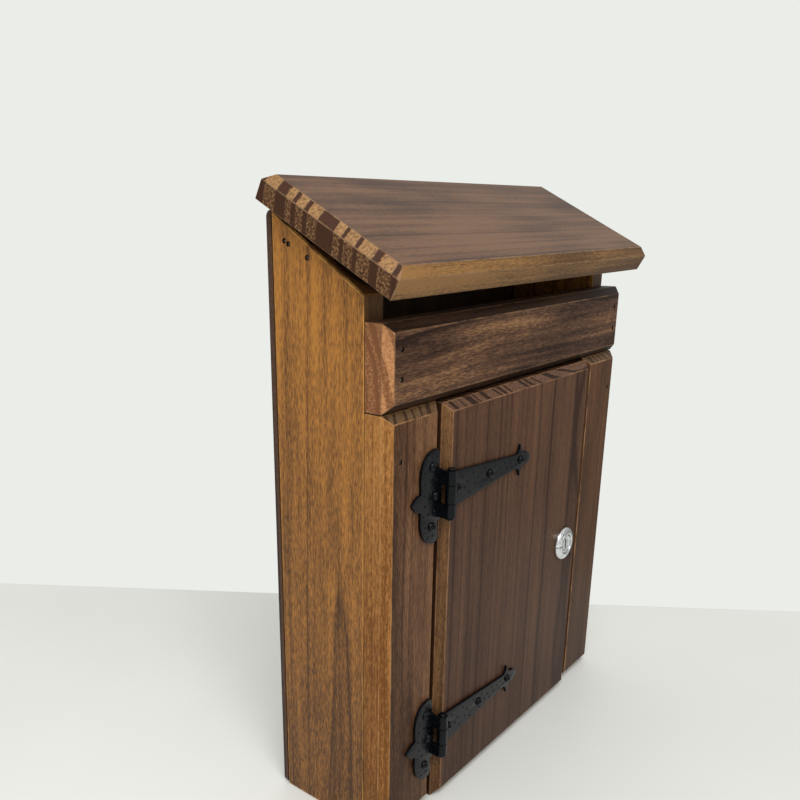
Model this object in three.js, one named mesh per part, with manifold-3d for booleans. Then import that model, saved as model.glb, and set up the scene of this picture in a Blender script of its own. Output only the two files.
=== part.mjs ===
// A wall mounted mailbox of stained softwood boards: a box under a sloping roof board, with a mail slot
// below the roof and a door on two T-hinges with a cam lock. Millimetres, +Z up, the wall is the plane
// Y = 0 and the box stands in front of it, towards -Y. Heights below are measured from the underside.
import * as THREE from "three";
import { ConvexGeometry } from "three/addons/geometries/ConvexGeometry.js";
import { mergeVertices } from "three/addons/utils/BufferGeometryUtils.js";
import Module from "manifold-3d";

const wasm = await Module();
wasm.setup();

// Driving dimensions: the box.
const boxWidth = 320;
const sideDepth = 73;
const sideThickness = 18;
const sideFrontHeight = 367;
const sideRearHeight = 413.5;
const sideChamfer = 1;
const backThickness = 4;
const backTopDrop = 4;
const backCornerRadius = 4.5;
const bottomThickness = 18;
const touchGap = 0.3;
const originHeight = 200;

// How far a cutting tool runs past the face it cuts, and how many flat sides round pieces have.
const overcut = 1;
const nailSides = 8;
const screwSides = 12;
const holeSides = 12;
const barrelSides = 16;
const lockSides = 32;
const outlineSteps = 5;

// Driving dimensions: the boards of the front.
const frontThickness = 18;
const edgeChamfer = 5.5;
const railBottom = 299;
const railHeight = 53;
const stileBottom = 2;
const stileTopGap = 0.6;
const leftStileWidth = 56;
const rightStileWidth = 54;
const doorProud = 3.5;
const doorSideGap = 1.8;
const doorTopGap = 1.8;
const doorBottom = 1;

// Driving dimensions: the roof and the bearers that carry it.
const roofSlope = THREE.MathUtils.degToRad(28.2);
const roofRearHeight = 420.8;
const roofLength = 116.5;
const roofThickness = 18;
const roofSideOverhang = 9;
const bearerThickness = 18;
const bearerDepth = 25;
const bearerLength = 50;

// Driving dimensions: a T-hinge. Its own X runs from the pin towards the door, its own Z is up.
const hingeHeights = { lower: 58, upper: 239 };
const hingePlate = 2;
const barrelRadius = 3.8;
const barrelHeight = 33;
const middleKnuckle = 12.4;
const pinRadius = 1.5;
const pinClearance = 0.3;
const pinHeadRadius = 2.6;
const pinHeadHeight = 1;
const webInset = 2.4;
const leafRootHalf = 17;
const leafInset = 6.4;
const leafWidth = 18.6;
const leafHalfHeight = 31.7;
const leafArch = 12;
const leafEarReach = 9.8;
const leafEarHalfHeight = 5.8;
const strapRise = 1.2;
const strapRootGap = 1.2;
const strapRootHalf = 12.4;
const strapNeckHalf = 5.3;
const strapNeckReach = 87;
const strapSpikeReach = 93;
const strapSpikeHalf = 12.2;
const strapSpikeWidth = 5.5;
const strapReach = 107.5;
const leafScrews = [
  [-13, 20.2],
  [-9.1, 0],
  [-13, -20.2],
];
const strapScrews = [
  [10.8, strapRise],
  [51.9, strapRise],
  [94.6, strapRise],
];

// Driving dimensions: fasteners.
const fastenerClearance = 0.3;
const screw = { headRadius: 3.2, headHeight: 1.8, shankRadius: 1.7, length: 15 };
const screwSlot = { length: 3.8, width: 0.9, depth: 1 };
const nail = { headRadius: 1.4, headHeight: 0.8, shankRadius: 0.9, length: 33, sunk: 0.5 };
const roofScrew = { headRadius: 4, headHeight: 2, shankRadius: 2, length: 37 };
const sideNails = [
  [10.8, 16.5],
  [14.2, 16.5],
  [29.5, 16],
];
const railNailHeights = [318.8, 336.4];
const stileNailHeight = 269;
const edgeNailInset = 12.5;
const backNailHeights = [40, 205, 370];
const bottomNailX = 80;
const roofScrewPlaces = [17.5, 39.5];
const wallHole = { radius: 2.6, halfSpacing: 100, heights: [55, 300] };

// Driving dimensions: the cam lock. Its own Y runs from the door's face towards the wall.
const lockX = 76.3;
const lockHeight = 148;
const lockBezelRadius = 14;
const lockBezelHeight = 4.6;
const lockBodyRadius = 9.5;
const plugHeadRadius = 7.8;
const plugHeadDepth = 2.6;
const plugRadius = 6.7;
const plugClearance = 0.3;
const plugSunk = 0.9;
const keyway = { width: 1.8, height: 8, depth: 7 };
const nutThickness = 4;
const nutRadius = 13;
const bodyBeyondNut = 0.7;
const camThickness = 2;
const camWidth = 16;
const camReach = 48;
const camBendStart = 14;
const camBendEnd = 18.5;
const camStileClearance = 0.8;
const tailSide = 7;
const camScrew = { headRadius: 5.5, headHeight: 2.5, shankRadius: 1.8, length: 11 };

// Values worked out from the ones above.
const halfWidth = boxWidth / 2;
const sideBack = -backThickness - touchGap;
const sideFront = sideBack - sideDepth;
const frameBack = sideFront - touchGap;
const frameFront = frameBack - frontThickness;
const doorFront = frameFront - doorProud;
const doorThickness = frontThickness + doorProud;
const doorLeft = -halfWidth + leftStileWidth + doorSideGap;
const doorRight = halfWidth - rightStileWidth - doorSideGap;
const doorTop = railBottom - doorTopGap;
const stileTop = railBottom - stileTopGap;
const insideHalfWidth = halfWidth - sideThickness - touchGap;
const leafBack = frameFront - touchGap;
const strapBack = doorFront - touchGap;
const pinX = doorLeft - doorSideGap / 2;
const pinY = strapBack - barrelRadius;
const roofRearY = -touchGap;
const boreRadius = pinRadius + pinClearance;

// Materials.
const sideWood = new THREE.MeshStandardMaterial({ color: 0x96683a, roughness: 0.55 });
const frontWood = new THREE.MeshStandardMaterial({ color: 0x59443a, roughness: 0.5 });
const roofWood = new THREE.MeshStandardMaterial({ color: 0x7a6658, roughness: 0.45 });
const innerWood = new THREE.MeshStandardMaterial({ color: 0xa57b4c, roughness: 0.7 });
const blackPaint = new THREE.MeshStandardMaterial({ color: 0x1c1d21, roughness: 0.5, metalness: 0.3 });
const steel = new THREE.MeshStandardMaterial({ color: 0x8d8f92, roughness: 0.4, metalness: 0.9 });
const chrome = new THREE.MeshStandardMaterial({ color: 0xd9dbdd, roughness: 0.1, metalness: 1 });

// The closed solid that a geometry bounds.
function solidOf(geometry) {
  const bare = geometry.clone();
  bare.deleteAttribute("normal");
  bare.deleteAttribute("uv");
  const merged = mergeVertices(bare, 1e-4);
  const mesh = new wasm.Mesh({
    numProp: 3,
    vertProperties: new Float32Array(merged.attributes.position.array),
    triVerts: new Uint32Array(merged.index.array),
  });
  return new wasm.Manifold(mesh);
}

function geometryOf(solid) {
  const mesh = solid.getMesh();
  const geometry = new THREE.BufferGeometry();
  geometry.setAttribute("position", new THREE.BufferAttribute(mesh.vertProperties, 3));
  geometry.setIndex(new THREE.BufferAttribute(mesh.triVerts, 1));
  return geometry;
}

function cut(body, tools) {
  let solid = solidOf(body);
  for (const tool of tools) solid = solid.subtract(solidOf(tool));
  return geometryOf(solid);
}

function join(pieces) {
  let solid = solidOf(pieces[0]);
  for (const piece of pieces.slice(1)) solid = solid.add(solidOf(piece));
  return geometryOf(solid);
}

// The same shape on the other side of the plane X = 0, with its faces turned back out.
function mirrored(geometry) {
  const other = geometry.clone().scale(-1, 1, 1);
  const corners = other.index.array;
  for (let i = 0; i < corners.length; i += 3) {
    const first = corners[i];
    corners[i] = corners[i + 1];
    corners[i + 1] = first;
  }
  return other;
}

// A block between two corners.
function block(low, high) {
  const size = low.map((value, i) => high[i] - value);
  const middle = low.map((value, i) => (value + high[i]) / 2);
  return new THREE.BoxGeometry(...size).translate(...middle);
}

// A round bar along Y between two Y values.
function barAlongY(radius, from, to, x, z, segments = holeSides) {
  const bar = new THREE.CylinderGeometry(radius, radius, to - from, segments);
  return bar.translate(x, (from + to) / 2, z);
}

// A round bar along Z between two heights.
function barAlongZ(radius, from, to, x, y) {
  const bar = new THREE.CylinderGeometry(radius, radius, to - from, barrelSides).rotateX(Math.PI / 2);
  return bar.translate(x, y, (from + to) / 2);
}

// The point a corner of an outline moves to when the edges before and after it are moved inwards.
function insetCorner(before, corner, after, insetBefore, insetAfter) {
  const along = new THREE.Vector2().subVectors(corner, before).normalize();
  const onward = new THREE.Vector2().subVectors(after, corner).normalize();
  const turn = along.x * onward.y - along.y * onward.x;
  const back = insetAfter / turn;
  const ahead = insetBefore / turn;
  return corner.clone().addScaledVector(along, -back).addScaledVector(onward, ahead);
}

// A flat board with a convex outline, given anticlockwise as X and Z with the chamfer of the edge that
// leaves each corner. Its back lies on Y = 0 and its face, which the chamfers cut, on Y = -thickness.
function board(outline, thickness) {
  const corners = outline.map(([x, z]) => new THREE.Vector2(x, z));
  const points = [];
  corners.forEach((corner, i) => {
    const last = (i + corners.length - 1) % corners.length;
    const next = (i + 1) % corners.length;
    const chamferBefore = outline[last][2];
    const chamferAfter = outline[i][2];
    const deepest = Math.max(chamferBefore, chamferAfter);
    const face = insetCorner(corners[last], corner, corners[next], chamferBefore, chamferAfter);
    points.push(new THREE.Vector3(corner.x, 0, corner.y));
    points.push(new THREE.Vector3(corner.x, deepest - thickness, corner.y));
    points.push(new THREE.Vector3(face.x, -thickness, face.y));
  });
  return new ConvexGeometry(points);
}

// A board of the front, with its four front edges chamfered.
function frontBoard(left, right, bottom, top, thickness) {
  const outline = [
    [left, bottom, edgeChamfer],
    [right, bottom, edgeChamfer],
    [right, top, edgeChamfer],
    [left, top, edgeChamfer],
  ];
  return board(outline, thickness).translate(0, frameBack, 0);
}

// A fastener along Y: its head rises from Y = 0 towards -Y and its shank runs towards +Y.
function fastener(size, segments) {
  const { headRadius, headHeight, shankRadius, length } = size;
  const profile = [
    [0, -headHeight],
    [headRadius * 0.6, -headHeight * 0.85],
    [headRadius, -headHeight * 0.3],
    [headRadius, 0],
    [shankRadius, 0],
    [shankRadius, length - 2 * shankRadius],
    [0, length],
  ];
  const points = profile.map(([radius, y]) => new THREE.Vector2(radius, y));
  return new THREE.LatheGeometry(points, segments);
}

function crossScrew(size) {
  const { length, width, depth } = screwSlot;
  const top = -size.headHeight;
  const slots = [
    block([-length / 2, top - depth, -width / 2], [length / 2, top + depth, width / 2]),
    block([-width / 2, top - depth, -length / 2], [width / 2, top + depth, length / 2]),
  ];
  return cut(fastener(size, screwSides), slots);
}

// The hole that a fastener along Y needs, from the seat of its head to past its tip.
function shankHole(size, x, seat, z) {
  const radius = size.shankRadius + fastenerClearance;
  return barAlongY(radius, seat - overcut, seat + size.length + overcut, x, z);
}

// The hole of a nail along Y whose head is driven below the surface.
function nailHole(x, surface, z) {
  const wide = nail.headRadius + fastenerClearance;
  const deep = surface + nail.sunk + nail.headHeight + touchGap;
  return join([shankHole(nail, x, deep, z), barAlongY(wide, surface - overcut, deep, x, z)]);
}

const nailGeometry = fastener(nail, nailSides);
const screwGeometry = crossScrew(screw);

const mailbox = new THREE.Group();
const box = new THREE.Group();
box.position.z = -originHeight;
mailbox.add(box);

function addPiece(name, geometry, material, parent = box) {
  const mesh = new THREE.Mesh(geometry, material);
  mesh.name = name;
  parent.add(mesh);
  return mesh;
}

// Side panels. The nails that reach the bearers are given by their distance from the panel's rear edge
// and their drop below the underside of the roof.
function roofUnderside(y) {
  return roofRearHeight + y * Math.tan(roofSlope);
}

function sideNailPlaces() {
  return sideNails.map(([fromRear, drop]) => {
    const y = sideBack - fromRear;
    return { y, z: roofUnderside(y) - drop };
  });
}

// The hole of a nail that is driven into the box from behind.
function backNailHole(x, z) {
  return nailHole(0, 0, 0).rotateZ(Math.PI).translate(x, 0, z);
}

const backNailX = halfWidth - sideThickness / 2;

function leftSidePanel() {
  const outline = [
    [0, 0, sideChamfer],
    [sideDepth, 0, 0],
    [sideDepth, sideFrontHeight, sideChamfer],
    [0, sideRearHeight, sideChamfer],
  ];
  const panel = board(outline, sideThickness).rotateZ(-Math.PI / 2);
  panel.translate(-halfWidth + sideThickness, sideBack, 0);
  const holes = sideNailPlaces().map(({ y, z }) => {
    const hole = nailHole(0, 0, 0).rotateZ(-Math.PI / 2);
    return hole.translate(-halfWidth, y, z);
  });
  for (const z of [...railNailHeights, stileNailHeight]) {
    holes.push(nailHole(-halfWidth + edgeNailInset, frameFront, z));
  }
  for (const z of backNailHeights) holes.push(backNailHole(-backNailX, z));
  return cut(panel, holes);
}

const leftSide = leftSidePanel();
addPiece("side_panel_left", leftSide, sideWood);
addPiece("side_panel_right", mirrored(leftSide), sideWood);

// Nails through the side panels into the bearers.
sideNailPlaces().forEach(({ y, z }, i) => {
  const seat = halfWidth - nail.sunk - nail.headHeight;
  const left = addPiece(`side_nail_left_${i + 1}`, nailGeometry, steel);
  left.rotation.z = -Math.PI / 2;
  left.position.set(-seat, y, z);
  const right = addPiece(`side_nail_right_${i + 1}`, nailGeometry, steel);
  right.rotation.z = Math.PI / 2;
  right.position.set(seat, y, z);
});

// The bottom board lies between the side panels, in front of the back panel.
const bottomBoard = block([-insideHalfWidth, sideFront, 0], [insideHalfWidth, sideBack, bottomThickness]);
const bottomNailZ = bottomThickness / 2;
const bottomHoles = [-bottomNailX, bottomNailX].map((x) => backNailHole(x, bottomNailZ));
addPiece("bottom_board", cut(bottomBoard, bottomHoles), innerWood);

// The roof, its bearers and their screws share a frame that starts at the roof's rear lower edge: its X
// is the box's X, its own Y runs up the slope towards the wall and its own Z is square to the roof.
const roofFrame = new THREE.Group();
roofFrame.position.set(0, roofRearY, roofUnderside(roofRearY));
roofFrame.rotation.x = roofSlope;
box.add(roofFrame);

// A bearer is cut square and its lower rear corner just reaches the back panel.
const bearerSetback = (roofRearY - sideBack) / Math.cos(roofSlope);
const bearerRear = -bearerSetback - (bearerDepth + touchGap) * Math.tan(roofSlope);
const bearerInner = insideHalfWidth - bearerThickness;

function roofScrewHole(side, place) {
  const x = side * (bearerInner + bearerThickness / 2);
  const hole = shankHole(roofScrew, 0, 0, 0).rotateX(Math.PI / 2);
  return hole.translate(x, bearerRear - place, -touchGap - bearerDepth);
}

function bearer(side) {
  const inner = side * bearerInner;
  const outer = side * insideHalfWidth;
  const low = [Math.min(inner, outer), bearerRear - bearerLength, -touchGap - bearerDepth];
  const high = [Math.max(inner, outer), bearerRear, -touchGap];
  const holes = roofScrewPlaces.map((place) => roofScrewHole(side, place));
  const toRoofFrame = new THREE.Matrix4().makeRotationX(-roofSlope);
  for (const { y, z } of sideNailPlaces()) {
    const hole = nailHole(0, 0, 0).rotateZ((side * Math.PI) / 2).translate(side * halfWidth, y, z);
    hole.translate(0, -roofRearY, -roofUnderside(roofRearY)).applyMatrix4(toRoofFrame);
    holes.push(hole);
  }
  return cut(block(low, high), holes);
}

function roofBoard() {
  const halfRoof = halfWidth + roofSideOverhang;
  const outline = [
    [-halfRoof, -roofLength, edgeChamfer],
    [halfRoof, -roofLength, edgeChamfer],
    [halfRoof, 0, edgeChamfer],
    [-halfRoof, 0, edgeChamfer],
  ];
  const slab = board(outline, roofThickness).rotateX(-Math.PI / 2);
  const holes = [];
  for (const side of [-1, 1]) {
    for (const place of roofScrewPlaces) holes.push(roofScrewHole(side, place));
  }
  return cut(slab, holes);
}

addPiece("roof_board", roofBoard(), roofWood, roofFrame);
for (const [name, side] of [["left", -1], ["right", 1]]) {
  addPiece(`roof_bearer_${name}`, bearer(side), innerWood, roofFrame);
  roofScrewPlaces.forEach((place, i) => {
    const mesh = addPiece(`roof_screw_${name}_${i + 1}`, crossScrew(roofScrew), steel, roofFrame);
    mesh.rotation.x = Math.PI / 2;
    const x = side * (bearerInner + bearerThickness / 2);
    mesh.position.set(x, bearerRear - place, -2 * touchGap - bearerDepth);
  });
}

// The back panel covers the rear edges of the side panels and of the bottom board. It is drilled for
// four wall screws and nailed on.
function backPanel() {
  const top = roofUnderside(-backThickness) - backTopDrop;
  const radius = backCornerRadius;
  const x = halfWidth - radius;
  const shape = new THREE.Shape();
  shape.absarc(x, radius, radius, -Math.PI / 2, 0, false);
  shape.absarc(x, top - radius, radius, 0, Math.PI / 2, false);
  shape.absarc(-x, top - radius, radius, Math.PI / 2, Math.PI, false);
  shape.absarc(-x, radius, radius, Math.PI, 1.5 * Math.PI, false);
  const settings = { depth: backThickness, bevelEnabled: false, curveSegments: outlineSteps };
  const panel = new THREE.ExtrudeGeometry(shape, settings).rotateX(Math.PI / 2);
  const tools = [];
  for (const side of [-1, 1]) {
    for (const height of wallHole.heights) {
      const holeX = side * wallHole.halfSpacing;
      tools.push(barAlongY(wallHole.radius, -backThickness - overcut, overcut, holeX, height));
    }
    for (const height of backNailHeights) tools.push(backNailHole(side * backNailX, height));
    tools.push(backNailHole(side * bottomNailX, bottomNailZ));
  }
  return cut(panel, tools);
}

function addBackNail(name, x, z) {
  const mesh = addPiece(name, nailGeometry, steel);
  mesh.rotation.z = Math.PI;
  mesh.position.set(x, -nail.sunk - nail.headHeight, z);
}

addPiece("back_panel", backPanel(), innerWood);
for (const [name, side] of [["left", -1], ["right", 1]]) {
  backNailHeights.forEach((z, i) => addBackNail(`back_nail_${name}_${i + 1}`, side * backNailX, z));
  addBackNail(`bottom_nail_${name}`, side * bottomNailX, bottomNailZ);
}

// The upper rail and the two stiles, nailed to the front edges of the side panels.
function drilledForEdgeNails(geometry, sides, heights) {
  const holes = [];
  for (const side of sides) {
    for (const z of heights) holes.push(nailHole(side * (halfWidth - edgeNailInset), frameFront, z));
  }
  return cut(geometry, holes);
}

function addEdgeNail(name, side, z) {
  const mesh = addPiece(name, nailGeometry, steel);
  const y = frameFront + nail.sunk + nail.headHeight;
  mesh.position.set(side * (halfWidth - edgeNailInset), y, z);
}

const railTop = railBottom + railHeight;
const rail = frontBoard(-halfWidth, halfWidth, railBottom, railTop, frontThickness);
addPiece("front_rail", drilledForEdgeNails(rail, [-1, 1], railNailHeights), frontWood);

function screwHoles(places, hingeHeight, seat) {
  return places.map(([x, z]) => shankHole(screw, pinX + x, seat, hingeHeight + z));
}

const leafFront = leafBack - hingePlate;
const strapFront = strapBack - hingePlate;
const leftStileBoard = frontBoard(
  -halfWidth,
  -halfWidth + leftStileWidth,
  stileBottom,
  stileTop,
  frontThickness,
);
const leftStileHoles = Object.values(hingeHeights).flatMap((height) =>
  screwHoles(leafScrews, height, leafFront),
);
const leftStile = cut(drilledForEdgeNails(leftStileBoard, [-1], [stileNailHeight]), leftStileHoles);
addPiece("stile_left", leftStile, frontWood);
const rightStileBoard = frontBoard(
  halfWidth - rightStileWidth,
  halfWidth,
  stileBottom,
  stileTop,
  frontThickness,
);
addPiece("stile_right", drilledForEdgeNails(rightStileBoard, [1], [stileNailHeight]), frontWood);

for (const [name, side] of [["left", -1], ["right", 1]]) {
  railNailHeights.forEach((z, i) => addEdgeNail(`rail_nail_${name}_${i + 1}`, side, z));
  addEdgeNail(`stile_nail_${name}`, side, stileNailHeight);
}

// The door, drilled for the strap screws and the lock.
const doorHoles = Object.values(hingeHeights).flatMap((height) =>
  screwHoles(strapScrews, height, strapFront),
);
const lockHole = lockBodyRadius + touchGap;
doorHoles.push(barAlongY(lockHole, doorFront - overcut, frameBack + overcut, lockX, lockHeight, lockSides));
const doorBoard = frontBoard(doorLeft, doorRight, doorBottom, doorTop, doorThickness);
addPiece("door_board", cut(doorBoard, doorHoles), frontWood);

// A flat hinge plate: an outline in X and Z, extruded towards -Y from its back plane.
function plate(shape, back) {
  const settings = { depth: hingePlate, bevelEnabled: false };
  return new THREE.ExtrudeGeometry(shape, settings).rotateX(Math.PI / 2).translate(0, back, 0);
}

// Half of an outline, given for +Z as a path, is closed by its own mirror image.
function mirroredShape(upperHalf) {
  const points = upperHalf.getPoints(outlineSteps);
  const lower = points.slice(1, -1).reverse().map((p) => new THREE.Vector2(p.x, -p.y));
  return new THREE.Shape([...points, ...lower]);
}

// The leaf on the stile: an arched end above and below, a pointed ear on the side away from the pin, and
// a wider middle that reaches to the knuckles.
function leafShape() {
  const right = -leafInset;
  const left = right - leafWidth;
  const arch = leafHalfHeight - leafArch;
  const half = new THREE.Path();
  half.moveTo(-webInset, 0);
  half.lineTo(-webInset, leafRootHalf);
  half.lineTo(right, leafRootHalf + 1);
  half.lineTo(right, leafHalfHeight - 1);
  half.quadraticCurveTo(right - 2, leafHalfHeight, right - leafWidth / 3, leafHalfHeight);
  half.quadraticCurveTo(left + 1, leafHalfHeight - 2, left, arch);
  half.lineTo(left, leafEarHalfHeight);
  half.quadraticCurveTo(left - leafEarReach + 3, leafEarHalfHeight - 0.5, left - leafEarReach, 0);
  return mirroredShape(half);
}

// The strap on the door: it tapers from the knuckle to a fleur-de-lis tip.
function strapShape() {
  const root = barrelRadius + strapRootGap;
  const lobeStart = strapSpikeReach + strapSpikeWidth;
  const lobeHalf = strapNeckHalf - 0.5;
  const half = new THREE.Path();
  half.moveTo(root, 0);
  half.lineTo(root, strapRootHalf);
  half.lineTo(strapNeckReach, strapNeckHalf);
  half.quadraticCurveTo(strapSpikeReach - 2, strapNeckHalf + 1, strapSpikeReach, strapSpikeHalf);
  half.quadraticCurveTo(lobeStart - 2, lobeHalf + 3, lobeStart, lobeHalf);
  half.quadraticCurveTo(strapReach - 1, lobeHalf + 0.5, strapReach, 0);
  return mirroredShape(half);
}

const outerKnuckle = (barrelHeight - middleKnuckle) / 2 - touchGap;

// The leaf with its two outer knuckles, which stand on webs in front of the plate.
function hingeLeaf() {
  const pieces = [plate(leafShape(), leafBack)];
  for (const side of [-1, 1]) {
    const near = side * (middleKnuckle / 2 + touchGap);
    const far = near + side * outerKnuckle;
    const low = Math.min(near, far);
    const high = Math.max(near, far);
    pieces.push(barAlongZ(barrelRadius, low, high, 0, pinY));
    pieces.push(block([-webInset - hingePlate, pinY, low], [-webInset, leafBack, high]));
  }
  const tools = [barAlongZ(boreRadius, -barrelHeight, barrelHeight, 0, pinY)];
  tools.push(...screwHoles(leafScrews, 0, leafFront).map((hole) => hole.translate(-pinX, 0, 0)));
  return cut(join(pieces), tools);
}

// The strap with its middle knuckle.
function hingeStrap() {
  const half = middleKnuckle / 2;
  const neckEnd = barrelRadius + strapRootGap + 1;
  const pieces = [
    plate(strapShape(), strapBack).translate(0, 0, strapRise),
    barAlongZ(barrelRadius, -half, half, 0, pinY),
    block([0, strapFront, -half], [neckEnd, strapBack, half]),
  ];
  const tools = [barAlongZ(boreRadius, -barrelHeight, barrelHeight, 0, pinY)];
  tools.push(...screwHoles(strapScrews, 0, strapFront).map((hole) => hole.translate(-pinX, 0, 0)));
  return cut(join(pieces), tools);
}

// The pin, with a button head at each end.
function hingePin() {
  const neck = barrelHeight / 2 + touchGap;
  const profile = [
    [0, -neck - pinHeadHeight],
    [pinHeadRadius * 0.7, -neck - pinHeadHeight * 0.8],
    [pinHeadRadius, -neck - pinHeadHeight * 0.3],
    [pinHeadRadius, -neck],
    [pinRadius, -neck],
    [pinRadius, neck],
    [pinHeadRadius, neck],
    [pinHeadRadius, neck + pinHeadHeight * 0.3],
    [pinHeadRadius * 0.7, neck + pinHeadHeight * 0.8],
    [0, neck + pinHeadHeight],
  ];
  const points = profile.map(([radius, y]) => new THREE.Vector2(radius, y));
  return new THREE.LatheGeometry(points, barrelSides).rotateX(Math.PI / 2).translate(0, pinY, 0);
}

const leafGeometry = hingeLeaf();
const strapGeometry = hingeStrap();
const pinGeometry = hingePin();

for (const [name, height] of Object.entries(hingeHeights)) {
  const hinge = new THREE.Group();
  hinge.position.set(pinX, 0, height);
  box.add(hinge);
  addPiece(`hinge_leaf_${name}`, leafGeometry, blackPaint, hinge);
  addPiece(`hinge_strap_${name}`, strapGeometry, blackPaint, hinge);
  addPiece(`hinge_pin_${name}`, pinGeometry, blackPaint, hinge);
  leafScrews.forEach(([x, z], i) => {
    const mesh = addPiece(`leaf_screw_${name}_${i + 1}`, screwGeometry, blackPaint, hinge);
    mesh.position.set(x, leafFront - touchGap, z);
  });
  strapScrews.forEach(([x, z], i) => {
    const mesh = addPiece(`strap_screw_${name}_${i + 1}`, screwGeometry, blackPaint, hinge);
    mesh.position.set(x, strapFront - touchGap, z);
  });
}

// The cam lock, in its own frame on the door's face.
const lock = new THREE.Group();
lock.position.set(lockX, doorFront, lockHeight);
box.add(lock);

const nutSeat = doorThickness + touchGap;
const bodyEnd = nutSeat + nutThickness + bodyBeyondNut;
const camFront = bodyEnd + touchGap;
const camBack = camFront + camThickness;

function turned(profile) {
  const points = profile.map(([radius, y]) => new THREE.Vector2(radius, y));
  return new THREE.LatheGeometry(points, lockSides);
}

// The housing: a domed bezel, a threaded body shown plain, and a stepped bore for the plug.
function lockHousing() {
  const bore = plugRadius + plugClearance;
  const headBore = plugHeadRadius + plugClearance;
  const step = plugHeadDepth + plugClearance - lockBezelHeight;
  return turned([
    [headBore, -lockBezelHeight + 0.5],
    [headBore + 0.6, -lockBezelHeight],
    [lockBezelRadius * 0.8, -lockBezelHeight * 0.84],
    [lockBezelRadius * 0.94, -lockBezelHeight * 0.52],
    [lockBezelRadius, -lockBezelHeight * 0.26],
    [lockBezelRadius, -touchGap],
    [lockBodyRadius, -touchGap],
    [lockBodyRadius, bodyEnd],
    [bore, bodyEnd],
    [bore, step],
    [headBore, step],
    [headBore, -lockBezelHeight + 0.5],
  ]);
}

// The plug: a wide head in the bezel, a shaft, a square tail for the cam, and the keyway.
function lockPlug() {
  const face = plugSunk - lockBezelHeight;
  const shoulder = plugHeadDepth - lockBezelHeight;
  const shaft = turned([
    [0, face],
    [plugHeadRadius, face],
    [plugHeadRadius, shoulder],
    [plugRadius, shoulder],
    [plugRadius, bodyEnd],
    [0, bodyEnd],
  ]);
  const half = tailSide / 2;
  const tail = block([-half, bodyEnd - overcut, -half], [half, camBack, half]);
  const keyLow = [-keyway.width / 2, face - overcut, -keyway.height / 2];
  const keyHigh = [keyway.width / 2, face + keyway.depth, keyway.height / 2];
  const screwRadius = camScrew.shankRadius + fastenerClearance;
  const thread = barAlongY(screwRadius, camBack - camScrew.length - overcut, camBack + overcut, 0, 0);
  return cut(join([shaft, tail]), [block(keyLow, keyHigh), thread]);
}

// The cam points up when the door is unlocked. Beyond the nut it is bent towards the door, so that it
// passes close behind the stile.
function lockCam() {
  const hookFront = doorThickness + camStileClearance;
  const hookBack = hookFront + camThickness;
  const side = new THREE.Shape([
    new THREE.Vector2(camFront, -camWidth / 2),
    new THREE.Vector2(camBack, -camWidth / 2),
    new THREE.Vector2(camBack, camBendStart + camThickness / 2),
    new THREE.Vector2(hookBack, camBendEnd + camThickness / 2),
    new THREE.Vector2(hookBack, camReach),
    new THREE.Vector2(hookFront, camReach),
    new THREE.Vector2(hookFront, camBendEnd),
    new THREE.Vector2(camFront, camBendStart),
  ]);
  const strip = new THREE.ExtrudeGeometry(side, { depth: camWidth, bevelEnabled: false });
  strip.rotateX(Math.PI / 2).rotateZ(Math.PI / 2).translate(-camWidth / 2, 0, 0);
  const half = camWidth / 2;
  const outline = new THREE.Shape();
  outline.absarc(0, 0, half, Math.PI, 2 * Math.PI, false);
  outline.absarc(0, camReach - half, half, 0, Math.PI, false);
  const settings = { depth: 4 * doorThickness, bevelEnabled: false, curveSegments: 2 * outlineSteps };
  const stamp = new THREE.ExtrudeGeometry(outline, settings).rotateX(Math.PI / 2);
  stamp.translate(0, 3 * doorThickness, 0);
  const hole = tailSide / 2 + plugClearance;
  const square = block([-hole, 0, -hole], [hole, 3 * doorThickness, hole]);
  return geometryOf(solidOf(strip).intersect(solidOf(stamp)).subtract(solidOf(square)));
}

// A hexagon nut against the back of the door.
function lockNut() {
  const nut = new THREE.CylinderGeometry(nutRadius, nutRadius, nutThickness, 6);
  nut.translate(0, nutSeat + nutThickness / 2, 0);
  const bore = barAlongY(lockBodyRadius + touchGap, 0, 3 * doorThickness, 0, 0, lockSides);
  return cut(nut, [bore]);
}

addPiece("lock_housing", lockHousing(), chrome, lock);
addPiece("lock_plug", lockPlug(), chrome, lock);
addPiece("lock_nut", lockNut(), steel, lock);
addPiece("lock_cam", lockCam(), steel, lock);
const camScrewMesh = addPiece("cam_screw", crossScrew(camScrew), steel, lock);
camScrewMesh.rotation.z = Math.PI;
camScrewMesh.position.y = camBack + touchGap;

export default mailbox;
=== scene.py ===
"""A wall mounted mailbox of stained softwood boards: a box under a sloping roof board, with a mail slot below
the roof and a door on two black T-hinges with a chrome cam lock. It stands on a pale table."""
import math
import random

import bmesh
import bpy
from mathutils import Matrix, Vector


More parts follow.
